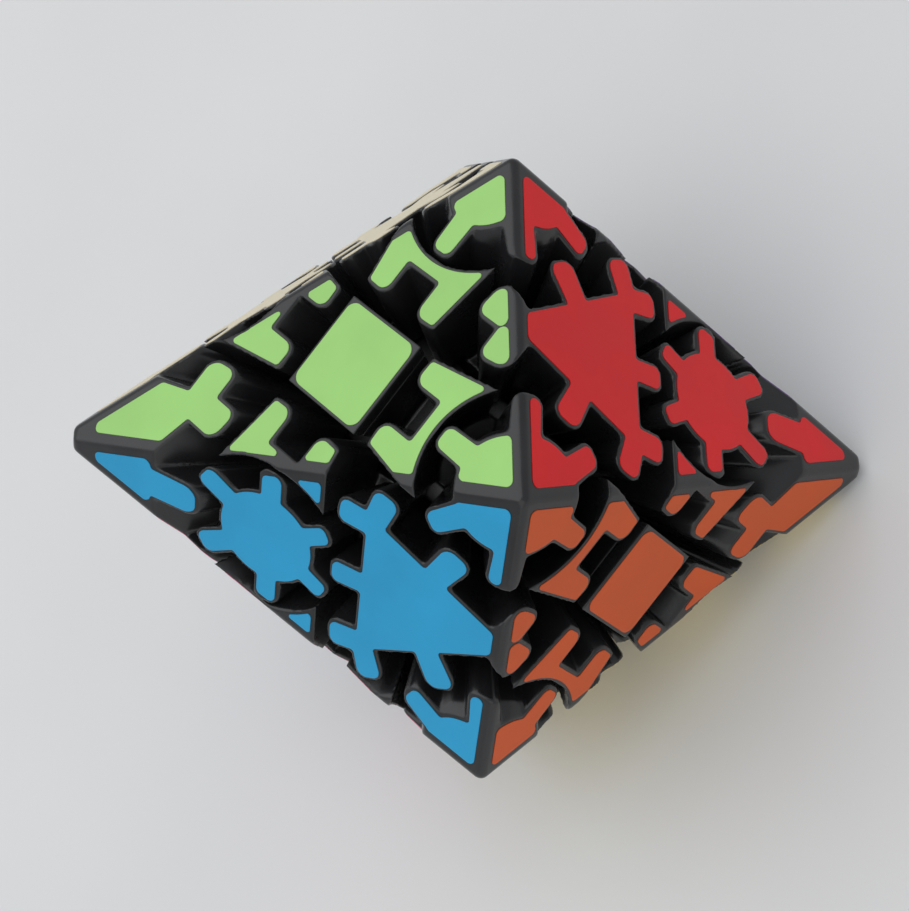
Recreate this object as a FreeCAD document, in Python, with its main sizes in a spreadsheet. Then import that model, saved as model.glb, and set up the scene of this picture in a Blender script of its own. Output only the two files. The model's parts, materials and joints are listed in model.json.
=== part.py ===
"""Gear twisty puzzle in the shape of a hexagonal dipyramid, as a parametric assembly.

The puzzle is a three-layer gear mechanism: a core with six arms, six centres, twelve edges that each
carry a six-tooth bevel gear, and eight corners.  Every working surface is radial: it passes through the
middle of the core, so that a layer turns about any arm without touching the next one.  The outside is the
part that two equal cubes share when one is turned by 60 degrees about a common body diagonal.

Frame: millimetres, origin in the middle of the core, +Z through the middle of the top layer.
"""
import FreeCAD, Part
import os
from itertools import product

Vector = FreeCAD.Vector
Rotation = FreeCAD.Rotation
Placement = FreeCAD.Placement

X_AXIS = Vector(1, 0, 0)
Y_AXIS = Vector(0, 1, 0)
Z_AXIS = Vector(0, 0, 1)

doc = FreeCAD.newDocument("GearDipyramid")
sheet = doc.addObject("Spreadsheet::Sheet", "Sizes")

# Driving dimensions: alias, value, meaning.  Lengths in millimetres, angles in degrees.
DIMENSIONS = [
    ("face_distance", 28.0, "middle of the core to each of the twelve faces"),
    ("ridge_radius", 1.0, "rounding of the ridges"),
    ("apex_cut", 1.8, "length taken off each apex by its small flat"),
    # Radii of the inner mechanism, from the middle outwards
    ("core_radius", 10.0, "ball in the middle of the core"),
    ("arm_radius", 2.25, "core arm"),
    ("arm_end", 13.6, "end of a core arm"),
    ("foot_inner", 10.8, "underside of the corner and edge feet"),
    ("foot_outer", 13.3, "top of the feet"),
    ("shoulder_inner", 13.75, "underside of an edge's shoulders, which hold the corner feet"),
    ("disc_inner", 14.0, "underside of a centre's disc, which holds the edge feet"),
    ("disc_outer", 15.8, "top of a centre's disc"),
    ("block_inner", 16.25, "underside of the blocks that run above the discs"),
    ("block_outer", 20.2, "top of the blocks, under the ring teeth"),
    ("teeth_inner", 20.7, "inner end of the ring teeth"),
    ("outside", 60.0, "beyond the furthest point of the puzzle"),
    ("near_core", 5.0, "start of the limiting shapes, inside every working surface"),
    ("join", 2.0, "how far shapes that are fused run into one another"),
    ("neck_inner", 11.97, "inner end of a corner's neck, within its foot"),
    ("neck_outer", 17.55, "outer end of a corner's neck, within its body"),
    # Half angles of the radial surfaces, seen from the middle of the core
    ("foot_width", 11.5, "edge foot, across the layer"),
    ("foot_reach", 29.0, "edge foot, towards the two centres"),
    ("neck_reach", 16.3, "edge neck, towards the two centres"),
    ("block_width", 20.3, "blocks of centres and edges"),
    ("disc_angle", 25.3, "centre disc"),
    ("corner_foot_angle", 21.3, "corner foot"),
    ("corner_neck_angle", 8.6, "corner neck"),
    ("square_angle", 11.9, "raised square of a centre"),
    ("edge_width", 12.8, "wings of an edge, across the layer"),
    ("ring_root", 23.2, "bottom of the ring's tooth spaces, above the layer's plane"),
    ("corner_tilt", 35.2644, "axis of a corner, above each layer's plane"),
    ("ring_tip", 15.4, "tips of the ring teeth, above the layer's plane"),
    ("ring_overlap", 25.5, "how far a ring tooth reaches into its piece"),
    ("corner_tooth", 3.8, "half width of a corner's ring teeth"),
    ("lobe", 4.5, "half width of an edge's ring teeth, the lobes of its wings"),
    ("gear_hub", 11.5, "hub of a gear"),
    ("gear_tip", 17.3, "tips of the gear teeth"),
    ("gear_tooth", 3.1, "half width of a gear tooth"),
    ("gear_pocket", 18.1, "hollow that the gear turns in"),
    ("tooth_rounding", 0.8, "corner radius of a tooth tip over its half width"),
    # Gears and their axle pins
    ("pocket_floor", 20.5, "floor of the gear's hollow"),
    ("gear_inner", 20.8, "underside of a gear"),
    ("hub_radius", 6.5, "largest radius of a gear's hub"),
    ("pin_radius", 1.25, "axle pin"),
    ("pin_inner", 16.8, "inner end of the pin, pressed into the edge"),
    ("pin_outer", 24.0, "outer end of the pin, in the gear"),
    ("pin_clearance", 0.08, "running clearance of the gear on its pin"),
    ("bore_outer", 24.4, "blind end of the gear's bore"),
    # Centre: boss, spring pocket, screw, washer, spring and cap
    ("boss_radius", 4.2, "boss that joins a centre's disc to its block"),
    ("shank_radius", 1.1, "screw shank"),
    ("shank_inner", 6.5, "inner end of the screw, in the core"),
    ("shank_clearance", 0.25, "running clearance of a centre on its screw"),
    ("spring_pocket", 2.9, "radius of the spring's pocket"),
    ("pocket_inner", 16.4, "bottom of the spring's pocket"),
    ("washer_inner", 20.6, "underside of the washer"),
    ("washer_thickness", 0.5, "washer"),
    ("washer_radius", 2.6, "washer"),
    ("head_radius", 2.1, "screw head"),
    ("head_height", 1.3, "screw head"),
    ("socket_reach", 1.3, "cross slot in the screw head, half its length"),
    ("socket_width", 0.5, "cross slot in the screw head"),
    ("socket_depth", 0.7, "cross slot in the screw head"),
    ("spring_radius", 1.9, "middle of the spring's wire"),
    ("wire_radius", 0.3, "spring wire"),
    ("spring_turns", 4.0, "turns of the spring"),
    ("spring_gap", 0.05, "clearance at each end of the spring"),
    ("cap_inner", 26.0, "underside of the cap that closes a centre"),
]
for line, (alias, value, meaning) in enumerate(DIMENSIONS, start=1):
    sheet.set(f"A{line}", meaning)
    sheet.set(f"B{line}", str(value))
    sheet.setAlias(f"B{line}", alias)
doc.recompute()
size = {alias: value for alias, value, _ in DIMENSIONS}

RING_TEETH = 20
RING_PITCH = 360 / RING_TEETH
GEAR_TEETH = 6


def cell(alias):
    """Expression that reads one driving dimension."""
    return f"Sizes.{alias}"


def bind(item, **expressions):
    """Tie properties of an object to the sheet."""
    for name, expression in expressions.items():
        item.setExpression(name.replace("__", "."), expression)
    return item


def add(kind, name, placement=None):
    item = doc.addObject(kind, name)
    if placement is not None:
        item.Placement = placement
    return item


def turned(rotation):
    return Placement(Vector(), rotation)


def copy(source, name, rotation):
    """The same shape again, turned about the middle of the core."""
    link = doc.addObject("App::Link", name)
    link.LinkedObject = source
    link.LinkTransform = True
    link.Placement = turned(rotation)
    return link


def fuse(name, parts):
    result = doc.addObject("Part::MultiFuse", name)
    result.Shapes = parts
    result.Refine = True
    return result


def common(name, parts):
    result = doc.addObject("Part::MultiCommon", name)
    result.Shapes = parts
    result.Refine = True
    return result


def cut(name, base, tool):
    result = doc.addObject("Part::Cut", name)
    result.Base = base
    result.Tool = tool
    result.Refine = True
    return result


def group(name, parts):
    result = doc.addObject("Part::Compound", name)
    result.Links = parts
    return result


def ball(name, radius):
    return bind(add("Part::Sphere", name), Radius=cell(radius))


def shell(name, inner, outer):
    """Space between two balls round the middle of the core."""
    return cut(name, ball(f"{name}_outer", outer), ball(f"{name}_inner", inner))


def post(name, radius, low, high, rotation=Rotation()):
    """Round post along the outward axis between two distances; radius is an expression."""
    item = add("Part::Cylinder", name)
    bind(item, Radius=radius, Height=f"{high} - ({low})", Placement__Base__z=low)
    return copy(item, f"{name}_turned", rotation) if rotation != Rotation() else item


def cone(name, angle, low, high):
    """Radial cone along the outward axis: its point would be the middle of the core."""
    item = add("Part::Cone", name)
    return bind(item, Radius1=f"{low} * tan({angle})", Radius2=f"{high} * tan({angle})",
                Height=f"{high} - {low}", Placement__Base__z=low)


def wedge(name, low, high, x_range, z_range, rotation=Rotation()):
    """Radial frustum along +Y between two distances.  Its four sides all pass through the origin;
    each range is a pair of expressions for the slope of two opposite sides."""
    item = add("Part::Wedge", name, turned(rotation))
    return bind(item, Ymin=low, Ymax=high,
                Xmin=f"{low} * {x_range[0]}", Xmax=f"{low} * {x_range[1]}",
                X2min=f"{high} * {x_range[0]}", X2max=f"{high} * {x_range[1]}",
                Zmin=f"{low} * {z_range[0]}", Zmax=f"{low} * {z_range[1]}",
                Z2min=f"{high} * {z_range[0]}", Z2max=f"{high} * {z_range[1]}")


OUTWARD = Rotation(X_AXIS, 90)   # takes a wedge's +Y to the outward +Z axis


def frustum(name, low, high, half_x, half_y):
    """Radial frustum along the outward +Z axis with two half angles."""
    return wedge(name, low, high, (f"-tan({half_x})", f"tan({half_x})"),
                 (f"-tan({half_y})", f"tan({half_y})"), OUTWARD)


def rounded_tooth(name, low, high, half_width, z_range):
    """Tooth as a wedge along +Y whose tip faces +Z, with the two tip edges rounded off."""
    blank = wedge(f"{name}_blank", low, high, (f"-tan({half_width})", f"tan({half_width})"), z_range)
    doc.recompute()
    rounded = []
    for number, edge in enumerate(blank.Shape.Edges, start=1):
        ends = [vertex.Point for vertex in edge.Vertexes]
        runs_outward = abs(ends[0].y - ends[1].y) > 1
        highest = max(v.Point.z / v.Point.y for v in blank.Shape.Vertexes)
        if runs_outward and abs(ends[0].z / ends[0].y - highest) < 1e-6:
            radii = sorted(abs(end.x) * size["tooth_rounding"] for end in ends)
            rounded.append((number, radii[0], radii[1]))
    tooth = doc.addObject("Part::Fillet", name)
    tooth.Base = blank
    tooth.Edges = rounded
    return tooth


# ---------------------------------------------------------------- outside of the puzzle
DIAGONAL = Vector(1, 1, -1)   # the two apexes lie on this line
first_cube = bind(add("Part::Box", "first_cube"),
                  Length="2 * Sizes.face_distance", Width="2 * Sizes.face_distance",
                  Height="2 * Sizes.face_distance", Placement__Base__x="-Sizes.face_distance",
                  Placement__Base__y="-Sizes.face_distance", Placement__Base__z="-Sizes.face_distance")
second_cube = copy(first_cube, "second_cube", Rotation(DIAGONAL, 60))
apex_slab = bind(add("Part::Cylinder", "apex_slab_upright"), Radius="2 * Sizes.outside",
                 Height="2 * (sqrt(3) * Sizes.face_distance - Sizes.apex_cut)",
                 Placement__Base__z="-(sqrt(3) * Sizes.face_distance - Sizes.apex_cut)")
apex_limits = copy(apex_slab, "apex_limits", Rotation(Z_AXIS, DIAGONAL))
sharp_dipyramid = common("sharp_dipyramid", [first_cube, second_cube, apex_limits])
doc.recompute()
dipyramid = doc.addObject("Part::Fillet", "dipyramid")
dipyramid.Base = sharp_dipyramid
dipyramid.Edges = [(number, size["ridge_radius"], size["ridge_radius"])
                   for number in range(1, len(sharp_dipyramid.Shape.Edges) + 1)]


# ---------------------------------------------------------------- ring teeth, on corners and edges
def make_ring_tooth(name, half_width):
    return rounded_tooth(name, cell("block_inner"), cell("outside"), half_width,
                         ("-tan(Sizes.ring_overlap)", "-tan(Sizes.ring_tip)"))


def ring_tooth_at(tooth, name, azimuth, turn=Rotation()):
    """Ring tooth of the layer above the XY plane, pointing down, at an azimuth from +X."""
    point_down = Rotation(Y_AXIS, 180)
    return copy(tooth, name, turn * Rotation(Z_AXIS, azimuth - 90) * point_down)


# ---------------------------------------------------------------- corner, made for the (+,+,+) octant
def make_corner():
    corner_axis = Vector(1, 1, 1)
    outward = Rotation(Z_AXIS, corner_axis)
    # A side of the corner's three-sided body is a plane through the origin that stands ring_root
    # degrees above one layer's plane; from the corner's own axis that is this angle.
    side_angle = "(Sizes.corner_tilt - Sizes.ring_root)"
    sides = []
    side = wedge("corner_side", cell("near_core"), cell("outside"),
                 ("-tan(60)", "tan(60)"), (f"-tan({side_angle})", "tan(60)"))
    to_axis = Rotation(Vector(-1, 1, 0), corner_axis, Vector(-1, -1, 2), "YZX")
    for number in range(3):
        about = Rotation(corner_axis, 120 * number)
        sides.append(copy(side, f"corner_side_{number + 1}", about * to_axis))
    body = common("corner_pyramid", sides)
    tooth = make_ring_tooth("corner_tooth", cell("corner_tooth"))
    teeth = []
    for number in range(3):
        about = Rotation(corner_axis, 120 * number)
        for offset in (-RING_PITCH, 0, RING_PITCH):
            name = f"corner_tooth_{len(teeth) + 1}"
            teeth.append(ring_tooth_at(tooth, name, 45 + offset, about))
    toothed = cut("corner_teeth", fuse("corner_teeth_full", teeth),
                  ball("corner_teeth_limit", "teeth_inner"))
    solid_body = cut("corner_body", body, ball("corner_body_limit", "block_inner"))
    foot = common("corner_foot", [shell("corner_foot_shell", "foot_inner", "foot_outer"),
                                  cone("corner_foot_cone", cell("corner_foot_angle"),
                                       cell("near_core"), cell("foot_outer"))])
    neck = cone("corner_neck", cell("corner_neck_angle"), cell("neck_inner"),
                cell("neck_outer"))
    stem = copy(fuse("corner_stem_upright", [foot, neck]), "corner_stem", outward)
    return fuse("corner_blank", [stem, solid_body, toothed])


# ---------------------------------------------------------------- edge, outward axis +Z, layers along Y
TO_EDGE = Rotation(Y_AXIS, -45)   # from the layer's frame to the edge's own frame


def make_edge_base():
    foot = common("edge_foot", [shell("edge_foot_shell", "foot_inner", "foot_outer"),
                                frustum("edge_foot_limits", cell("near_core"), cell("foot_outer"),
                                        cell("foot_reach"), cell("foot_width"))])
    neck = common("edge_neck", [shell("edge_neck_shell", "foot_inner", "block_outer"),
                                frustum("edge_neck_limits", cell("near_core"), cell("block_outer"),
                                        cell("neck_reach"), cell("foot_width"))])
    shoulder = common("edge_shoulder", [shell("edge_shoulder_shell", "shoulder_inner", "block_outer"),
                                        frustum("edge_shoulder_limits", cell("near_core"),
                                                cell("block_outer"), cell("neck_reach"),
                                                cell("block_width"))])
    block_reach = "(45 - Sizes.ring_root)"
    block = common("edge_block", [shell("edge_block_shell", "block_inner", "block_outer"),
                                  frustum("edge_block_limits", cell("near_core"), cell("block_outer"),
                                          block_reach, cell("block_width"))])
    web = frustum("edge_web", "(Sizes.block_outer - Sizes.join)", cell("outside"),
                  block_reach, cell("edge_width"))
    lobe = make_ring_tooth("edge_lobe", cell("lobe"))
    lobes = []
    for half_turn in (0, 180):
        for offset in (-RING_PITCH / 2, RING_PITCH / 2):
            about = Rotation(Z_AXIS, half_turn) * TO_EDGE
            lobes.append(ring_tooth_at(lobe, f"edge_lobe_{len(lobes) + 1}", offset, about))
    wing_reach = "(45 - Sizes.ring_tip)"
    wing_limits = frustum("edge_wing_limits", cell("near_core"), cell("outside"),
                          wing_reach, cell("edge_width"))
    trimmed = common("edge_lobes_trimmed", [fuse("edge_lobes_full", lobes), wing_limits])
    lobes_outer = cut("edge_lobes", trimmed, ball("edge_lobes_limit", "teeth_inner"))
    body = fuse("edge_body", [foot, neck, shoulder, block, web, lobes_outer])
    hollow = cone("edge_hollow", cell("gear_pocket"), cell("pocket_floor"), cell("outside"))
    bore = post("edge_bore", cell("pin_radius"), cell("pin_inner"), cell("outside"))
    return cut("edge_blank", cut("edge_hollowed", body, hollow), bore)


def make_gear():
    """Six-tooth bevel gear, outward axis +Z; a tooth points along the edge's X axis."""
    hub = common("gear_hub", [cone("gear_hub_cone", cell("gear_hub"), cell("gear_inner"),
                                   cell("outside")),
                              post("gear_hub_limit", cell("hub_radius"), cell("near_core"),
                                   cell("outside"))])
    tooth = rounded_tooth("gear_tooth", cell("gear_inner"), cell("outside"), cell("gear_tooth"),
                          ("0", "tan(Sizes.gear_tip)"))
    teeth = []
    for number in range(GEAR_TEETH):
        turn = Rotation(Z_AXIS, number * 360 / GEAR_TEETH + 90)
        teeth.append(copy(tooth, f"gear_tooth_{number + 1}", turn * Rotation(X_AXIS, 90)))
    body = fuse("gear_body", [hub] + teeth)
    bore = post("gear_bore", "Sizes.pin_radius + Sizes.pin_clearance", cell("near_core"),
                cell("bore_outer"))
    return cut("gear_blank", body, bore)


# ---------------------------------------------------------------- centre, outward axis +Z
def make_center_base():
    disc = common("center_disc", [shell("center_disc_shell", "disc_inner", "disc_outer"),
                                  cone("center_disc_cone", cell("disc_angle"), cell("near_core"),
                                       cell("disc_outer"))])
    boss = post("center_boss", cell("boss_radius"), "(Sizes.disc_inner + Sizes.disc_outer) / 2",
                "Sizes.block_inner + Sizes.join / 2")
    block = common("center_block", [shell("center_block_shell", "block_inner", "block_outer"),
                                    frustum("center_block_limits", cell("near_core"), cell("block_outer"),
                                            cell("block_width"), cell("block_width"))])
    column = frustum("center_column", "(Sizes.block_outer - Sizes.join)", cell("cap_inner"),
                     cell("square_angle"), cell("square_angle"))
    body = fuse("center_body", [disc, boss, block, column])
    shank_hole = post("center_shank_hole", "Sizes.shank_radius + Sizes.shank_clearance", cell("near_core"),
                      cell("outside"))
    pocket = post("center_spring_pocket", cell("spring_pocket"), cell("pocket_inner"), cell("outside"))
    return cut("center_blank", cut("center_drilled", body, shank_hole), pocket)


def make_cap():
    return frustum("cap_blank", cell("cap_inner"), cell("face_distance"),
                   cell("square_angle"), cell("square_angle"))


def make_screw():
    shank = post("screw_shank", cell("shank_radius"), cell("shank_inner"),
                 "Sizes.washer_inner + Sizes.washer_thickness + Sizes.head_height / 2")
    head_low = "(Sizes.washer_inner + Sizes.washer_thickness)"
    head = post("screw_head", cell("head_radius"), head_low, f"{head_low} + Sizes.head_height")
    body = fuse("screw_body", [shank, head])
    slot = bind(add("Part::Box", "screw_slot"), Length="2 * Sizes.socket_reach",
                Width=cell("socket_width"), Height=cell("head_height"),
                Placement__Base__x="-Sizes.socket_reach", Placement__Base__y="-Sizes.socket_width / 2",
                Placement__Base__z=f"{head_low} + Sizes.head_height - Sizes.socket_depth")
    slots = [slot, copy(slot, "screw_slot_across", Rotation(Z_AXIS, 90))]
    return cut("screw_blank", body, fuse("screw_cross", slots))


def make_washer():
    high = "Sizes.washer_inner + Sizes.washer_thickness"
    ring = post("washer_ring", cell("washer_radius"), cell("washer_inner"), high)
    hole = post("washer_hole", "Sizes.shank_radius", cell("near_core"), cell("outside"))
    return cut("washer_blank", ring, hole)


def make_spring():
    """Coil spring between the pocket's bottom and the washer, its wire with eight sides."""
    start = "(Sizes.pocket_inner + Sizes.wire_radius + Sizes.spring_gap)"
    rise = f"(Sizes.washer_inner - Sizes.wire_radius - Sizes.spring_gap - {start})"
    path = bind(add("Part::Helix", "spring_path"), Radius=cell("spring_radius"),
                Height=rise, Pitch=f"{rise} / Sizes.spring_turns", Placement__Base__z=start)
    wire = add("Part::RegularPolygon", "spring_wire", turned(Rotation(X_AXIS, 90)))
    wire.Polygon = 8
    bind(wire, Circumradius=cell("wire_radius"), Placement__Base__x=cell("spring_radius"),
         Placement__Base__z=start)
    coil = doc.addObject("Part::Sweep", "spring_blank")
    coil.Sections = [wire]
    coil.Spine = (path, [])
    coil.Solid = True
    coil.Frenet = True
    return coil


def make_core():
    arms = [ball("core_ball", "core_radius")]
    holes = []
    arm = post("core_arm", cell("arm_radius"), "0", cell("arm_end"))
    hole = post("core_hole", cell("shank_radius"), cell("shank_inner"), cell("outside"))
    for name, direction in CENTERS.items():
        rotation = outward_rotation(direction)
        arms.append(copy(arm, f"core_arm_{name}", rotation))
        holes.append(copy(hole, f"core_hole_{name}", rotation))
    return cut("core_solid", fuse("core_body", arms), fuse("core_holes", holes))


# ---------------------------------------------------------------- where everything goes
def place_name(direction):
    """Name of a place from its signs, such as top_front_left."""
    words = []
    if direction.z:
        words.append("top" if direction.z > 0 else "bottom")
    if direction.y:
        words.append("back" if direction.y > 0 else "front")
    if direction.x:
        words.append("right" if direction.x > 0 else "left")
    return "_".join(words)


def places(nonzero):
    """Directions of the 3 x 3 x 3 grid with this many nonzero signs."""
    found = [Vector(*signs) for signs in product((1, -1, 0), repeat=3)
             if sum(map(abs, signs)) == nonzero]
    return {place_name(direction): direction for direction in found}


CENTERS = places(1)
EDGES = places(2)
CORNERS = places(3)


def outward_rotation(direction):
    return Rotation(Z_AXIS, direction)


def edge_rotation(direction):
    """Outward axis to +Z, and the axis with no share in the direction to +Y."""
    layer_axis = Vector(*(0 if part else 1 for part in direction))
    return Rotation(layer_axis.cross(direction), layer_axis, direction, "ZYX")


def corner_rotation(direction):
    """Takes the (+,+,+) corner to another corner, with the three axes onto one another."""
    axes = [Vector(direction.x, 0, 0), Vector(0, direction.y, 0), Vector(0, 0, direction.z)]
    if direction.x * direction.y * direction.z < 0:
        axes[0], axes[1] = axes[1], axes[0]
    return Rotation(axes[0], axes[1], axes[2], "ZXY")


nodes = []


def keep(item, name):
    item.Label = name
    nodes.append(item)


def place_all(blank, kind, where, rotation_of, trimmed=True):
    for name, direction in where.items():
        label = f"{kind}_{name}"
        placed = copy(blank, f"{label}_place", rotation_of(direction))
        if trimmed:
            keep(common(f"{label}_trimmed", [placed, dipyramid]), label)
        else:
            keep(placed, label)


def place_group(blank, label, where, rotation_of):
    placed = [copy(blank, f"{label}_{name}", rotation_of(direction)) for name, direction in where.items()]
    keep(group(f"{label}_group", placed), label)


keep(make_core(), "core")
place_group(make_screw(), "center_screws", CENTERS, outward_rotation)
place_group(make_washer(), "center_washers", CENTERS, outward_rotation)
place_group(make_spring(), "center_springs", CENTERS, outward_rotation)
place_all(make_center_base(), "center_base", CENTERS, outward_rotation, trimmed=False)
place_all(make_cap(), "center_cap", CENTERS, outward_rotation, trimmed=False)
place_all(make_corner(), "corner", CORNERS, corner_rotation)
place_all(make_edge_base(), "edge_base", EDGES, edge_rotation)
place_all(make_gear(), "gear", EDGES, edge_rotation)
pin = post("pin_blank", cell("pin_radius"), cell("pin_inner"), cell("pin_outer"))
for layer, height in (("top", 1), ("middle", 0), ("bottom", -1)):
    in_layer = {name: direction for name, direction in EDGES.items() if direction.z == height}
    place_group(pin, f"gear_pins_{layer}", in_layer, edge_rotation)

# ---------------------------------------------------------------- check and write
doc.recompute()
failed = [item.Name for item in doc.Objects if "Invalid" in item.State or "Error" in item.State]
if failed:
    raise RuntimeError(f"objects that did not recompute: {failed}")
os.makedirs("parts", exist_ok=True)
for item in nodes:
    shape = item.Shape
    if shape.isNull() or not shape.isValid():
        raise RuntimeError(f"{item.Label} has no valid shape")
    print(f"{item.Label:28s} solids {len(shape.Solids)} volume {shape.Volume:9.1f}")
    shape.exportStep(f"parts/{item.Label}.step")
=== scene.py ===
"""Visual model of a gear puzzle shaped as a hexagonal double pyramid with twelve coloured faces.

The moulded pieces are the CAD solids with their edges rounded as moulding leaves them. Every cap, corner,
edge and gear carries a vinyl sticker on each face that it reaches, cut to its own outline on that face.
"""

import json
import math

import bpy
import numpy as np
from mathutils import Matrix, Vector

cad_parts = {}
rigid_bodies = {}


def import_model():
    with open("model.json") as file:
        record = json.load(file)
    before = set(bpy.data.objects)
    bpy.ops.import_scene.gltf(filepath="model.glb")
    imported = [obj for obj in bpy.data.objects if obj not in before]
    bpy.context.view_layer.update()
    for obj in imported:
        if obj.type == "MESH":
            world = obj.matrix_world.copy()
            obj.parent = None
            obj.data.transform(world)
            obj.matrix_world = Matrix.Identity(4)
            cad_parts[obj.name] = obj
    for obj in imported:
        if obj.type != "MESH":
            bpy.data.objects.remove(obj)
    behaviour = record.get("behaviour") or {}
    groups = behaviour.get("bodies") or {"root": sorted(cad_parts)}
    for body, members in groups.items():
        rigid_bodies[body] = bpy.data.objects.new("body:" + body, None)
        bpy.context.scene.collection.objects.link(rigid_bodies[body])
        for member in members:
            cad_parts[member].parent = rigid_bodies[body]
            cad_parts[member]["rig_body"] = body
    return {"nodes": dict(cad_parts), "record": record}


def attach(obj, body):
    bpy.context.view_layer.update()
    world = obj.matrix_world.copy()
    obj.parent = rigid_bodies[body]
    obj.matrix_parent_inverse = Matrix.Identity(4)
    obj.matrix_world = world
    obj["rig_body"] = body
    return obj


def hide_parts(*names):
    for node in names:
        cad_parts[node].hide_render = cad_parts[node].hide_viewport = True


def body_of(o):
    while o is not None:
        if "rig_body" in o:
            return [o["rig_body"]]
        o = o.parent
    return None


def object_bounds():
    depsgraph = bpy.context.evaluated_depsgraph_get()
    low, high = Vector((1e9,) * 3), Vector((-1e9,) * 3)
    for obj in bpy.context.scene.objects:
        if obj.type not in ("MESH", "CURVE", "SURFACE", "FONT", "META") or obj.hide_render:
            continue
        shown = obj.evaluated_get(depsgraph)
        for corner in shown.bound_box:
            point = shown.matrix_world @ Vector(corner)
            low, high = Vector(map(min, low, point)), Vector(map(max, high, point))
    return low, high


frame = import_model()
cad_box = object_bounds()

MM = 0.001

# The body -------------------------------------------------------------------------------

# Every face is the same distance from the middle, and the model rests on one of them.
FACE_DISTANCE = -cad_box[0].z
# Points this near to a face's plane count as on it, and faces this little tilted are parallel.
ON_FACE = 0.004 * MM
PARALLEL = 1e-6
# A face's first axis is at right angles to x, or to y where its normal lies this much along x.
MOSTLY_X = 0.6
# Added to lengths and their squares, so that nothing is divided by zero.
TINY_LENGTH = 1e-12
TINY_SQUARE = 1e-18

# Outward direction of each face as whole numbers, under the colour of its stickers.
FACES = {
    "green": (0, 0, 1),
    "teal": (0, 0, -1),
    "orange": (1, 0, 0),
    "white": (-1, 0, 0),
    "purple": (0, 1, 0),
    "pink": (0, -1, 0),
    "red": (2, 2, 1),
    "navy": (-2, -2, -1),
    "blue": (1, -2, 2),
    "grey": (-1, 2, -2),
    "yellow": (2, -1, -2),
    "cream": (-2, 1, 2),
}

STICKER_COLOURS = {
    "green": (0.360, 0.690, 0.190),
    "teal": (0.010, 0.330, 0.300),
    "orange": (0.640, 0.085, 0.006),
    "white": (0.800, 0.800, 0.780),
    "purple": (0.180, 0.045, 0.330),
    "pink": (0.800, 0.200, 0.330),
    "red": (0.760, 0.006, 0.009),
    "navy": (0.012, 0.040, 0.250),
    "blue": (0.018, 0.335, 0.620),
    "grey": (0.230, 0.240, 0.250),
    "yellow": (0.850, 0.620, 0.030),
    "cream": (0.780, 0.690, 0.480),
}

# Moulded pieces -------------------------------------------------------------------------

# Grid that the solids are rebuilt on, and the smoothing passes that round their edges.
VOXEL = 0.2 * MM
SMOOTHING_PASSES = 8
SMOOTHING_STRENGTH = 0.5
# Share of the rebuilt triangles that is kept.
KEPT_TRIANGLES = 0.14
# Weight of large triangles over small ones in the shading, where 50 is even.
LARGE_TRIANGLE_WEIGHT = 100

MOULDED_SLOTS = ("body_plastic", "cap_plastic", "gear_plastic")

# Stickers -------------------------------------------------------------------------------

STICKER_THICKNESS = 0.12 * MM
# How far the back of a sticker lies under the face, and the rounding of its edge.
STICKER_SUNK = 0.03 * MM
STICKER_EDGE = 0.03 * MM
STICKER_EDGE_STEPS = 1
# Bare plastic between a sticker and the edge of its piece, and between it and the ridge where two
# faces meet. The ridge's rounding takes a strip beside it, and a border inside that strip is the
# ridge's own, so only the second margin applies there.
EDGE_MARGIN = 0.45 * MM
RIDGE_MARGIN = 1.2 * MM
RIDGE_STRIP = 0.8 * MM
# Rounding of a sticker's corners, by the kind of piece it is on. The narrow webs of the edges leave
# room for little.
CORNER_RADII = {
    "center_cap_": 1.2 * MM,
    "corner_": 0.7 * MM,
    "gear_": 0.6 * MM,
    "edge_base_": 0.3 * MM,
}
# Grid on which outlines are worked out, and how far a point may be from the simplified line.
CELL = 0.14 * MM
OUTLINE_TOLERANCE = 0.008 * MM


def linked(name, data):
    """A new object in the scene."""
    piece = bpy.data.objects.new(name, data)
    bpy.context.scene.collection.objects.link(piece)
    return piece


def settled(piece):
    """Replaces an object's data with the mesh that its modifiers make."""
    evaluated = piece.evaluated_get(bpy.context.evaluated_depsgraph_get())
    mesh = bpy.data.meshes.new_from_object(evaluated)
    piece.modifiers.clear()
    piece.data = mesh


def moulded(node, material):
    """Makes a moulded copy of a CAD node, which it stands for."""
    source = frame["nodes"][node]
    piece = linked("moulded_" + node, source.data.copy())
    piece.data.materials.clear()
    rebuild = piece.modifiers.new("rebuild", "REMESH")
    rebuild.mode = "VOXEL"
    rebuild.voxel_size = VOXEL
    soften = piece.modifiers.new("soften", "SMOOTH")
    soften.factor = SMOOTHING_STRENGTH
    soften.iterations = SMOOTHING_PASSES
    thin = piece.modifiers.new("thin", "DECIMATE")
    thin.ratio = KEPT_TRIANGLES
    settled(piece)
    piece.data.shade_smooth()
    flatten = piece.modifiers.new("flatten", "WEIGHTED_NORMAL")
    flatten.weight = LARGE_TRIANGLE_WEIGHT
    settled(piece)
    piece.data.materials.append(material)
    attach(piece, body_of(source)[0])
    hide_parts(node)


def face_axes(direction):
    """Two axes in a face and its outward normal, as the columns of a rotation."""
    normal = Vector(direction).normalized()
    helper = Vector((1, 0, 0)) if abs(normal.x) < MOSTLY_X else Vector((0, 1, 0))
    across = helper.cross(normal).normalized()
    return Matrix((across, normal.cross(across), normal)).transposed()


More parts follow.
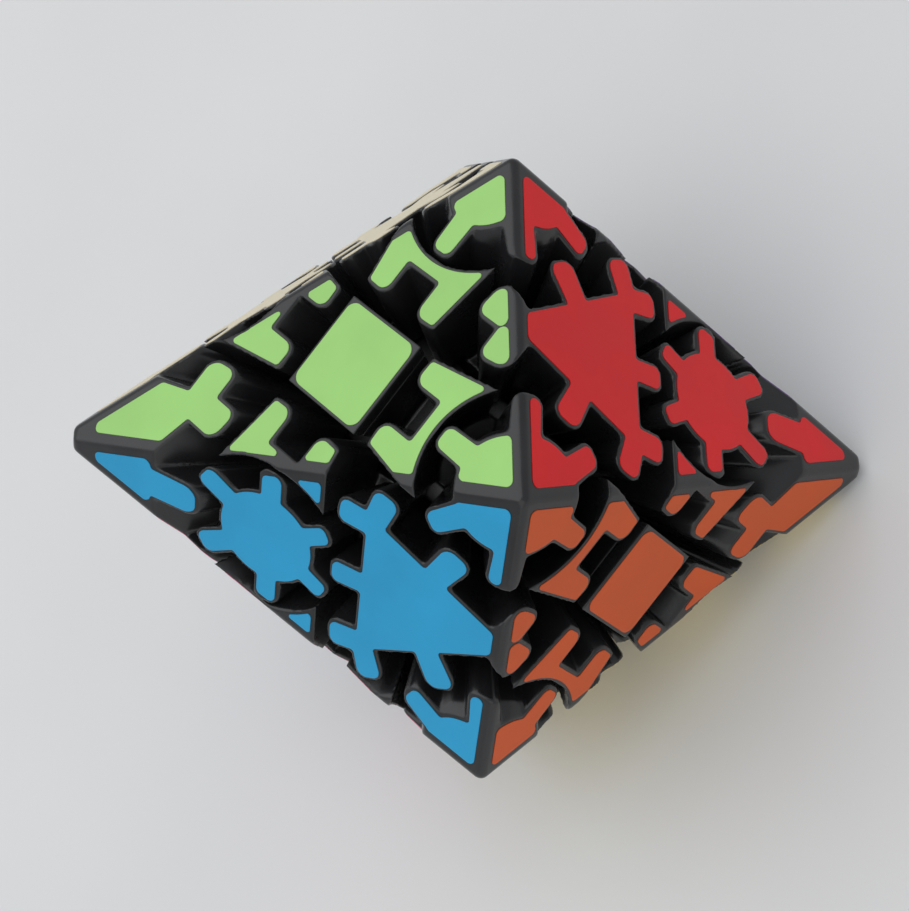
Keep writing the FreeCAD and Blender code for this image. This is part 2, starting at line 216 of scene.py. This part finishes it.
def outline_segments(node, axes):
    """The border of a CAD node's flat area on one face, as segments in that face's own two axes."""
    mesh = frame["nodes"][node].data
    points = np.empty(len(mesh.vertices) * 3)
    mesh.vertices.foreach_get("co", points)
    points = points.reshape(-1, 3) @ np.array(axes)
    on_face = np.abs(points[:, 2] - FACE_DISTANCE) < ON_FACE
    mesh.calc_loop_triangles()
    corners = np.empty(len(mesh.loop_triangles) * 3, dtype=int)
    mesh.loop_triangles.foreach_get("vertices", corners)
    corners = corners.reshape(-1, 3)
    corners = corners[on_face[corners].all(axis=1)]
    counts = {}
    for triangle in corners:
        keys = [tuple(np.round(points[i, :2] / ON_FACE).astype(int)) for i in triangle]
        for i in range(3):
            edge = (keys[i], keys[(i + 1) % 3])
            if edge[0] != edge[1]:
                counts.setdefault(tuple(sorted(edge)), []).append(edge)
    return np.array([edges[0] for edges in counts.values() if len(edges) == 1], float) * ON_FACE


def ridge_distance(across, up, colour):
    """Distance, within one face, from points to the nearest line where another face meets it."""
    axes = face_axes(FACES[colour])
    nearest = np.full(np.shape(across), np.inf)
    for direction in FACES.values():
        local = axes.transposed() @ Vector(direction).normalized()
        slant = math.hypot(local.x, local.y)
        if slant > PARALLEL:
            level = FACE_DISTANCE - (local.x * across + local.y * up + local.z * FACE_DISTANCE)
            nearest = np.minimum(nearest, level / slant)
    return nearest


def distance_to(segments, across, up):
    """Distance from grid points to the nearest of some segments."""
    nearest = np.full(across.shape, np.inf)
    for (ax, ay), (bx, by) in segments:
        dx, dy = bx - ax, by - ay
        along = ((across - ax) * dx + (up - ay) * dy) / (dx * dx + dy * dy + TINY_SQUARE)
        along = np.clip(along, 0, 1)
        gap_squared = (across - ax - along * dx) ** 2 + (up - ay - along * dy) ** 2
        nearest = np.minimum(nearest, gap_squared)
    return np.sqrt(nearest)


def inside(segments, across, up):
    """True for grid points that closed outlines go round."""
    crossings = np.zeros(across.shape, int)
    for (ax, ay), (bx, by) in segments:
        if ay == by:
            continue
        spans = (up >= min(ay, by)) & (up < max(ay, by))
        crossings += spans & (across < ax + (up - ay) * (bx - ax) / (by - ay))
    return crossings % 2 == 1


def contours(field, across, up):
    """The closed lines where a field sampled on a grid passes through zero."""
    low = field < 0
    mixed = low[:-1, :-1].astype(int) + low[1:, :-1] + low[:-1, 1:] + low[1:, 1:]
    following = {}
    for i, j in np.argwhere((mixed > 0) & (mixed < 4)):
        cell = [(i, j), (i + 1, j), (i + 1, j + 1), (i, j + 1)]
        starts, ends = [], []
        for k in range(4):
            a, b = cell[k], cell[(k + 1) % 4]
            if low[a] and not low[b]:
                ends.append((min(a, b), max(a, b)))
            if low[b] and not low[a]:
                starts.append((min(a, b), max(a, b)))
        if len(starts) == 2:
            ends.reverse()
        for start, end in zip(starts, ends):
            following[start] = end
    lines = []
    while following:
        start, here = following.popitem()
        line = [start]
        while here != start:
            line.append(here)
            here = following.pop(here)
        lines.append(line)
    return [[crossing(field, across, up, *edge) for edge in line] for line in lines]


def crossing(field, across, up, a, b):
    """The point between two neighbouring grid points where a field is zero."""
    part = field[a] / (field[a] - field[b])
    return (
        across[a] + part * (across[b] - across[a]),
        up[a] + part * (up[b] - up[a]),
    )


def simplified(line, tolerance):
    """A closed line without the points that lie within a tolerance of the line between their neighbours."""
    points = np.array(line)
    half = len(points) // 2
    loop = np.vstack([points, points[:1]])
    kept = {0, half, len(points)}
    stack = [(0, half), (half, len(points))]
    while stack:
        first, last = stack.pop()
        if last - first < 2:
            continue
        chord = loop[last] - loop[first]
        offset = loop[first + 1:last] - loop[first]
        doubled_areas = np.abs(chord[0] * offset[:, 1] - chord[1] * offset[:, 0])
        gaps = doubled_areas / (np.hypot(*chord) + TINY_LENGTH)
        if gaps.max() > tolerance:
            middle = first + 1 + int(gaps.argmax())
            kept.add(middle)
            stack += [(first, middle), (middle, last)]
    return [loop[i] for i in sorted(kept) if i < len(points)]


def as_segments(lines):
    """The segments of closed lines."""
    pairs = []
    for line in lines:
        pairs += list(zip(line, line[1:] + line[:1]))
    return pairs


def sticker_outlines(node, colour):
    """The outlines of a piece's sticker on one face: inside the piece's outline, with rounded corners."""
    axes = face_axes(FACES[colour])
    segments = outline_segments(node, axes)
    if not len(segments):
        return []
    low = segments.min(axis=(0, 1)) - 2 * CELL
    high = segments.max(axis=(0, 1)) + 2 * CELL
    columns = np.arange(low[0], high[0], CELL)
    rows = np.arange(low[1], high[1], CELL)
    across, up = np.meshgrid(columns, rows, indexing="ij")
    middles = segments.mean(axis=1)
    cut = segments[ridge_distance(middles[:, 0], middles[:, 1], colour) > RIDGE_STRIP]
    radius = next(value for kind, value in CORNER_RADII.items() if node.startswith(kind))
    depth = distance_to(cut, across, up)
    depth[~inside(segments, across, up)] *= -1
    from_edge = EDGE_MARGIN + radius - depth
    from_ridge = RIDGE_MARGIN + radius - ridge_distance(across, up, colour)
    shrunk = as_segments(contours(np.maximum(from_edge, from_ridge), across, up))
    if not shrunk:
        return []
    spread = distance_to(shrunk, across, up)
    spread[inside(shrunk, across, up)] *= -1
    return [simplified(line, OUTLINE_TOLERANCE) for line in contours(spread - radius, across, up)]


def sticker(node, colour, material):
    """Makes the sticker of one piece on one face, where the piece reaches that face."""
    outlines = sticker_outlines(node, colour)
    if not outlines:
        return
    name = f"sticker_{colour}_{node}"
    curve = bpy.data.curves.new(name, "CURVE")
    curve.dimensions = "2D"
    curve.fill_mode = "BOTH"
    curve.extrude = STICKER_THICKNESS / 2 - STICKER_EDGE
    curve.bevel_depth = STICKER_EDGE
    curve.bevel_resolution = STICKER_EDGE_STEPS
    curve.offset = -STICKER_EDGE
    for line in outlines:
        spline = curve.splines.new("POLY")
        spline.points.add(len(line) - 1)
        spline.points.foreach_set("co", np.array([(x, y, 0, 1) for x, y in line]).ravel())
        spline.use_cyclic_u = True
    drawn = linked(name + "_outline", curve)
    evaluated = drawn.evaluated_get(bpy.context.evaluated_depsgraph_get())
    mesh = bpy.data.meshes.new_from_object(evaluated)
    bpy.data.objects.remove(drawn)
    level = FACE_DISTANCE - STICKER_SUNK + STICKER_THICKNESS / 2
    mesh.transform(face_axes(FACES[colour]).to_4x4() @ Matrix.Translation((0, 0, level)))
    mesh.materials.clear()
    mesh.materials.append(material)
    piece = linked(name, mesh)
    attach(piece, body_of(frame["nodes"][node])[0])


# Materials ------------------------------------------------------------------------------

# Noise textures: features per metre, and layers of finer detail.
PLASTIC_PATCHES = (180, 3)
MOULD_TEXTURE = (2600, 2)
PRINT_TONE = (90, 4)
FILM_DIMPLE = (900, 1)
STEEL_SCRATCHES = (1500, 6)
PAPER_MOTTLE = (14, 4)
PAPER_GRAIN = (700, 3)
# Nearly all of a noise texture's values lie between these two.
NOISE_LOW = 0.3
NOISE_HIGH = 0.7

# Darkest and lightest tone of a surface, as shares of its colour.
PLASTIC_TONES = (0.8, 1.3)
VINYL_TONES = (0.93, 1.05)
STEEL_TONES = (0.85, 1.0)
# Heights of the finest relief.
MOULD_TEXTURE_HEIGHT = 0.004 * MM
CORE_TEXTURE_HEIGHT = 0.008 * MM
FILM_DIMPLE_HEIGHT = 0.006 * MM
SCRATCH_HEIGHT = 0.004 * MM
PAPER_GRAIN_HEIGHT = 0.05 * MM

PLASTIC_IOR = 1.54
VINYL_IOR = 1.40
VINYL_ROUGHNESS = (0.36, 0.46)
VINYL_COAT = 0.04
VINYL_COAT_ROUGHNESS = 0.12
PAPER_DARK = (0.75, 0.752, 0.755)
PAPER_LIGHT = (0.79, 0.79, 0.788)
PAPER_ROUGHNESS = 0.9
PAPER_GRAIN_STRENGTH = 0.4


def new_material(name):
    """A material with its shader and a coordinate node."""
    material = bpy.data.materials.new(name)
    material.use_nodes = True
    nodes = material.node_tree.nodes
    coordinates = nodes.new("ShaderNodeTexCoord")
    return material, nodes["Principled BSDF"], coordinates.outputs["Object"]


def noise(material, coordinates, scale, detail):
    """A noise texture on object coordinates."""
    node = material.node_tree.nodes.new("ShaderNodeTexNoise")
    node.inputs["Scale"].default_value = scale
    node.inputs["Detail"].default_value = detail
    material.node_tree.links.new(coordinates, node.inputs["Vector"])
    return node.outputs["Fac"]


def spread_between(material, value, low, high):
    """A value between two limits, from a texture's value."""
    node = material.node_tree.nodes.new("ShaderNodeMapRange")
    node.inputs["From Min"].default_value = NOISE_LOW
    node.inputs["From Max"].default_value = NOISE_HIGH
    node.inputs["To Min"].default_value = low
    node.inputs["To Max"].default_value = high
    material.node_tree.links.new(value, node.inputs["Value"])
    return node.outputs["Result"]


def shaded(material, value, dark, light):
    """A colour between two, from a texture's value."""
    node = material.node_tree.nodes.new("ShaderNodeValToRGB")
    node.color_ramp.elements[0].position = NOISE_LOW
    node.color_ramp.elements[1].position = NOISE_HIGH
    node.color_ramp.elements[0].color = (*dark, 1)
    node.color_ramp.elements[1].color = (*light, 1)
    material.node_tree.links.new(value, node.inputs["Fac"])
    return node.outputs["Color"]


def bumped(material, value, height, strength=1.0):
    """A normal that rises and falls with a texture's value."""
    node = material.node_tree.nodes.new("ShaderNodeBump")
    node.inputs["Distance"].default_value = height
    node.inputs["Strength"].default_value = strength
    material.node_tree.links.new(value, node.inputs["Height"])
    return node.outputs["Normal"]


def in_tones(colour, tones):
    """A colour's darkest and lightest tone."""
    return [tuple(min(1.0, channel * tone) for channel in colour) for tone in tones]


def plastic(name, colour, roughness, texture_height):
    """Moulded plastic: nearly even in colour, duller in patches, with a fine texture from the mould."""
    material, shader, coordinates = new_material(name)
    link = material.node_tree.links.new
    patches = noise(material, coordinates, *PLASTIC_PATCHES)
    texture = noise(material, coordinates, *MOULD_TEXTURE)
    link(shaded(material, patches, *in_tones(colour, PLASTIC_TONES)), shader.inputs["Base Color"])
    link(spread_between(material, patches, *roughness), shader.inputs["Roughness"])
    link(bumped(material, texture, texture_height), shader.inputs["Normal"])
    shader.inputs["IOR"].default_value = PLASTIC_IOR
    return material


def vinyl(name, colour):
    """Printed vinyl film: even colour under a faint clear coat, with a slight dimple."""
    material, shader, coordinates = new_material(name)
    link = material.node_tree.links.new
    print_tone = noise(material, coordinates, *PRINT_TONE)
    dimple = noise(material, coordinates, *FILM_DIMPLE)
    link(shaded(material, print_tone, *in_tones(colour, VINYL_TONES)), shader.inputs["Base Color"])
    link(spread_between(material, print_tone, *VINYL_ROUGHNESS), shader.inputs["Roughness"])
    link(bumped(material, dimple, FILM_DIMPLE_HEIGHT), shader.inputs["Normal"])
    shader.inputs["IOR"].default_value = VINYL_IOR
    shader.inputs["Coat Weight"].default_value = VINYL_COAT
    shader.inputs["Coat Roughness"].default_value = VINYL_COAT_ROUGHNESS
    return material


def metal(name, colour, roughness):
    """Drawn or turned steel with fine scratches."""
    material, shader, coordinates = new_material(name)
    link = material.node_tree.links.new
    scratches = noise(material, coordinates, *STEEL_SCRATCHES)
    link(shaded(material, scratches, *in_tones(colour, STEEL_TONES)), shader.inputs["Base Color"])
    link(spread_between(material, scratches, *roughness), shader.inputs["Roughness"])
    link(bumped(material, scratches, SCRATCH_HEIGHT), shader.inputs["Normal"])
    shader.inputs["Metallic"].default_value = 1.0
    return material


def paper(name):
    """Pale paper with a faint grain."""
    material, shader, coordinates = new_material(name)
    link = material.node_tree.links.new
    mottle = noise(material, coordinates, *PAPER_MOTTLE)
    grain = noise(material, coordinates, *PAPER_GRAIN)
    link(shaded(material, mottle, PAPER_DARK, PAPER_LIGHT), shader.inputs["Base Color"])
    link(bumped(material, grain, PAPER_GRAIN_HEIGHT, PAPER_GRAIN_STRENGTH), shader.inputs["Normal"])
    shader.inputs["Roughness"].default_value = PAPER_ROUGHNESS
    return material


# Material of each slot, from its name, colour, range of roughness and, for plastics, height of texture.
SLOT_MATERIALS = {
    "body_plastic": plastic(
        "black_body_plastic", (0.012, 0.012, 0.013), (0.22, 0.34), MOULD_TEXTURE_HEIGHT
    ),
    "cap_plastic": plastic(
        "black_cap_plastic", (0.013, 0.013, 0.014), (0.20, 0.32), MOULD_TEXTURE_HEIGHT
    ),
    "gear_plastic": plastic(
        "black_gear_plastic", (0.011, 0.011, 0.012), (0.20, 0.30), MOULD_TEXTURE_HEIGHT
    ),
    "core_plastic": plastic("core_nylon", (0.55, 0.54, 0.50), (0.40, 0.55), CORE_TEXTURE_HEIGHT),
    "steel": metal("turned_steel", (0.56, 0.56, 0.57), (0.22, 0.38)),
    "spring_steel": metal("drawn_spring_steel", (0.42, 0.41, 0.40), (0.25, 0.42)),
}
VINYLS = {colour: vinyl("vinyl_" + colour, tone) for colour, tone in STICKER_COLOURS.items()}

# Assembly -------------------------------------------------------------------------------

for subpart in frame["record"]["subparts"]:
    node, slot = subpart["node"], subpart["material_slot"]
    if slot in MOULDED_SLOTS:
        moulded(node, SLOT_MATERIALS[slot])
        if node.startswith(tuple(CORNER_RADII)):
            for colour in FACES:
                sticker(node, colour, VINYLS[colour])
    else:
        frame["nodes"][node].data.materials.clear()
        frame["nodes"][node].data.materials.append(SLOT_MATERIALS[slot])

# Stage ----------------------------------------------------------------------------------

FLOOR_SIZE = 4.0
# Camera place in face distances from the middle, the direction it looks in and the one it holds upright.
CAMERA_PLACE = Vector((4.861, 0.171, 6.937))
CAMERA_FORWARD = Vector((-0.5794, -0.0275, -0.8146))
CAMERA_UP = Vector((-0.5128, 0.7892, 0.3380))
CAMERA_LENS = 79.3
CAMERA_CLIP_START = 0.01

# Soft lights: direction from the middle, distance, width, power and colour.
SOFTBOXES = {
    "window": ((-0.30, -0.12, 0.95), 0.8, 1.1, 3.6, (0.98, 0.99, 1.0)),
    "room": ((0.9, -0.7, 0.6), 1.0, 1.0, 1.4, (1.0, 0.98, 0.95)),
}
# Light from all round.
ROOM_COLOUR = (0.80, 0.82, 0.84, 1)
ROOM_STRENGTH = 0.62

floor_mesh = bpy.data.meshes.new("floor")
reach = FLOOR_SIZE / 2
floor_level = -FACE_DISTANCE + STICKER_SUNK - STICKER_THICKNESS
floor_corners = [(x * reach, y * reach, floor_level) for x, y in ((-1, -1), (1, -1), (1, 1), (-1, 1))]
floor_mesh.from_pydata(floor_corners, [], [(0, 1, 2, 3)])
floor_mesh.materials.append(paper("pale_paper"))
linked("floor", floor_mesh)


def facing(place, forward, up):
    """The placement of something that looks along one direction and holds another upright."""
    back = -forward.normalized()
    right = up.cross(back).normalized()
    turn = Matrix((right, back.cross(right), back)).transposed()
    return Matrix.Translation(place) @ turn.to_4x4()


def softbox(name, direction, distance, size, power, colour):
    """A square soft light aimed at the middle."""
    light = bpy.data.lights.new(name, "AREA")
    light.size = size
    light.energy = power
    light.color = colour
    place = Vector(direction).normalized() * distance
    linked(name, light).matrix_world = facing(place, -place, Vector((0, 1, 0)))


camera = linked("camera", bpy.data.cameras.new("camera"))
camera.data.lens = CAMERA_LENS
camera.data.clip_start = CAMERA_CLIP_START
camera.matrix_world = facing(CAMERA_PLACE * FACE_DISTANCE, CAMERA_FORWARD, CAMERA_UP)
bpy.context.scene.camera = camera

for light_name, settings in SOFTBOXES.items():
    softbox(light_name, *settings)

world = bpy.data.worlds.new("room_light")
world.use_nodes = True
background = world.node_tree.nodes["Background"]
background.inputs["Color"].default_value = ROOM_COLOUR
background.inputs["Strength"].default_value = ROOM_STRENGTH
bpy.context.scene.world = world
bpy.context.scene.view_settings.view_transform = "Standard"

bpy.context.view_layer.update()
